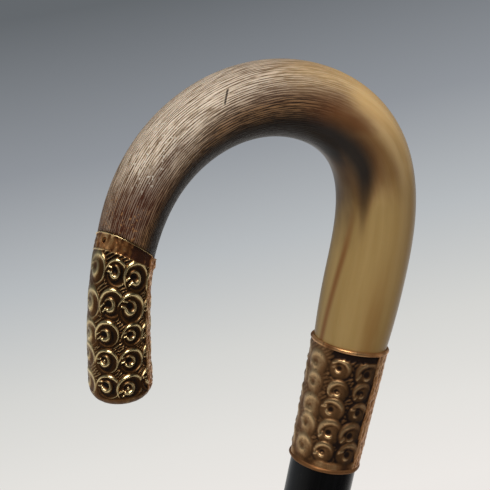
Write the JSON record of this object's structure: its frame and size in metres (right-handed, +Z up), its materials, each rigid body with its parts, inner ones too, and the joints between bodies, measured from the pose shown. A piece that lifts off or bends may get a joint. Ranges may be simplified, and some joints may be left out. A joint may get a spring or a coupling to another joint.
{
  "type": "walking cane",
  "caption": "Crook-handled walking cane: bent horn handle with an embossed metal nose cap and collar, tapered black shaft and brass ferrule.",
  "frame": {"origin": "centre of the iron tip's flat foot, where the cane meets the floor", "axes": "+Z up along the shaft, the crook bends over in the XZ plane with its nose towards -X"},
  "size_m": [0.0986, 0.0244, 0.8995],
  "materials": {
    "ebonised_wood": "black stain under polished shellac",
    "ferrule_brass": "worn, dull, scratched along the foot",
    "tip_iron": "worn iron with brown rust in the pits",
    "pin_brass": "filed flush and tarnished",
    "gold_sheet": "embossed gold-plated sheet, bright on the ridges and brown in the hollows",
    "cement": "hard brown shellac cement",
    "dowel_steel": "drawn steel",
    "horn": "natural horn, fibrous and grey-brown at the nose, polished amber at the shaft"
  },
  "bodies": {
    "root": {"shaft": "ebonised_wood", "ferrule_sleeve": "ferrule_brass", "ferrule_tip": "tip_iron", "ferrule_pins": "pin_brass", "collar_shell": "gold_sheet", "collar_cement": "cement", "joining_dowel": "dowel_steel", "horn_crook": "horn", "nose_cap_shell": "gold_sheet", "nose_cap_end": "gold_sheet", "nose_cap_cement": "cement", "nose_cap_pins": "pin_brass"}
  },
  "joints": []
}
